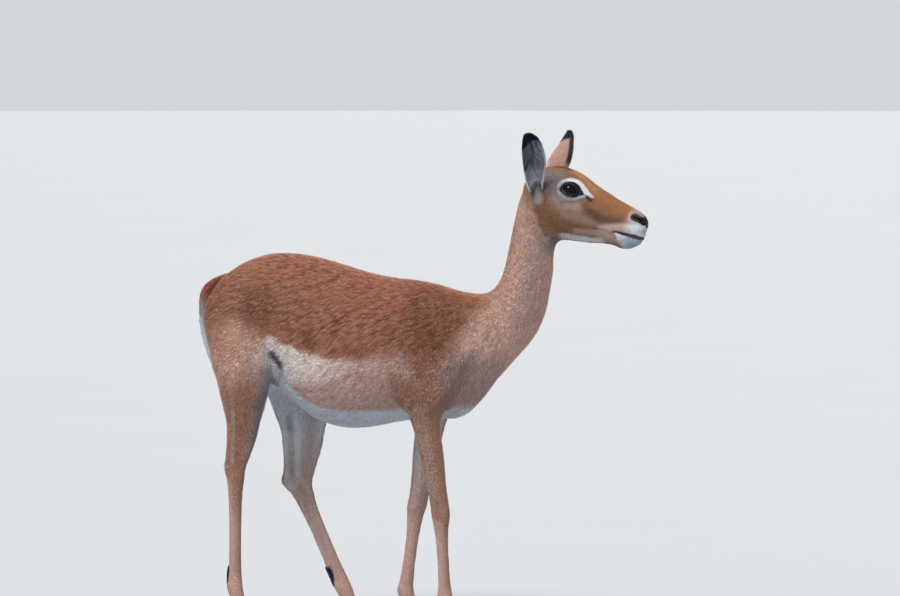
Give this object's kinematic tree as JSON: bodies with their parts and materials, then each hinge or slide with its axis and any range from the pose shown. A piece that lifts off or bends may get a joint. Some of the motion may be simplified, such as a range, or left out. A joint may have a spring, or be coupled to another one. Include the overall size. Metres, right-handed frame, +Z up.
{
  "type": "impala antelope",
  "caption": "Life-size still model of a female impala antelope, standing alert with raised head on split hooves, with a reddish saddle, fawn sides and pale belly.",
  "frame": {"origin": "on the floor, under the middle of the model's box", "axes": "+X forwards from rump to nose, +Y to the animal's left, +Z up"},
  "size_m": [1.1574, 0.2754, 1.1897],
  "materials": {
    "coat": "short flat fur, reddish brown saddle over light fawn sides and legs",
    "pale_coat": "white fur of belly, tail, inner ears, throat and lips",
    "hoof": "dark horn, satin",
    "eye": "wet, very dark brown",
    "bare_skin": "black moist skin of nose, lips and eyelids"
  },
  "bodies": {
    "root": {"ear_left": "coat", "ear_right": "coat", "eye_left": "eye", "eye_right": "eye", "foreleg_left_lower": "coat", "foreleg_left_upper": "coat", "foreleg_right_lower": "coat", "foreleg_right_upper": "coat", "head": "coat", "hindleg_left_lower": "coat", "hindleg_left_upper": "coat", "hindleg_right_lower": "coat", "hindleg_right_upper": "coat", "hoof_foreleg_left_inner": "hoof", "hoof_foreleg_left_outer": "hoof", "hoof_foreleg_right_inner": "hoof", "hoof_foreleg_right_outer": "hoof", "hoof_hindleg_left_inner": "hoof", "hoof_hindleg_left_outer": "hoof", "hoof_hindleg_right_inner": "hoof", "hoof_hindleg_right_outer": "hoof", "neck": "coat", "tail": "pale_coat", "trunk": "coat"}
  },
  "joints": []
}
